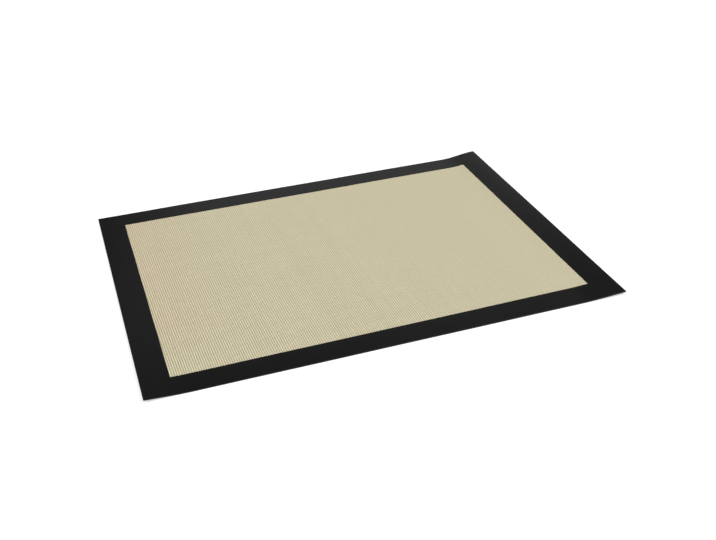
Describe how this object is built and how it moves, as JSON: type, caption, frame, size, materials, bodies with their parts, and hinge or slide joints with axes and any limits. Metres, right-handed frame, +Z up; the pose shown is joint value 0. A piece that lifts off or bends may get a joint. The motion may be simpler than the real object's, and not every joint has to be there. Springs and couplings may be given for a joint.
{
  "type": "silicone baking mat",
  "caption": "Flat rectangular silicone baking mat: coated glass-fibre cloth with a beige baking field, a black silicone border and a sealed edge.",
  "frame": {"origin": "centre of the underside, on the surface that the mat lies on", "axes": "+X along the long side, +Y along the short side, +Z up out of the baking surface"},
  "size_m": [0.4, 0.3, 0.0008],
  "materials": {
    "black_silicone": "satin",
    "beige_silicone": "matte",
    "glass_fibre": "matte"
  },
  "bodies": {
    "root": {"bottom_border": "black_silicone", "bottom_silicone_coat": "beige_silicone", "glass_cloth": "glass_fibre", "top_silicone_coat": "beige_silicone", "top_border": "black_silicone", "edge_seal": "black_silicone"}
  },
  "joints": []
}
